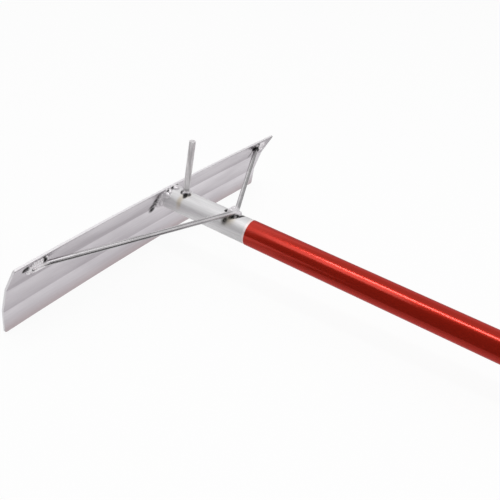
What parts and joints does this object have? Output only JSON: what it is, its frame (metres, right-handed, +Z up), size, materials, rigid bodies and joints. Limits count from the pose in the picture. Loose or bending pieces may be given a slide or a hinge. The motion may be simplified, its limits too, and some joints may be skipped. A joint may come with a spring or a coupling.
{
  "type": "concrete placer",
  "caption": "Long-handled concrete placer: bowed alloy blade welded to a tube with a red sleeved grip, a V-shaped rod brace and an upright hook rod.",
  "frame": {"origin": "middle of the tool's footprint on the floor, as it lies on its blade edge and handle end", "axes": "+X along the blade to the user's left, +Y along the handle from the blade to its free end, +Z up"},
  "size_m": [0.4952, 1.5302, 0.1654],
  "materials": {
    "blade_alloy": "mill finish sheet",
    "tube_alloy": "drawn tube, bare",
    "red_vinyl": "gloss shrunk sleeve",
    "black_plastic": "moulded",
    "rod_alloy": "drawn rod",
    "weld_alloy": "as welded"
  },
  "bodies": {
    "root": {"blade": "blade_alloy", "handle_tube": "tube_alloy", "handle_sleeve": "red_vinyl", "end_plug": "black_plastic", "hook_rod": "rod_alloy", "brace_rod": "rod_alloy", "tube_weld": "weld_alloy", "hook_weld": "weld_alloy", "brace_inner_weld": "weld_alloy", "brace_outer_weld": "weld_alloy", "left_foot_tip_weld": "weld_alloy", "left_foot_upper_weld": "weld_alloy", "left_foot_lower_weld": "weld_alloy", "right_foot_tip_weld": "weld_alloy", "right_foot_upper_weld": "weld_alloy", "right_foot_lower_weld": "weld_alloy"}
  },
  "joints": []
}
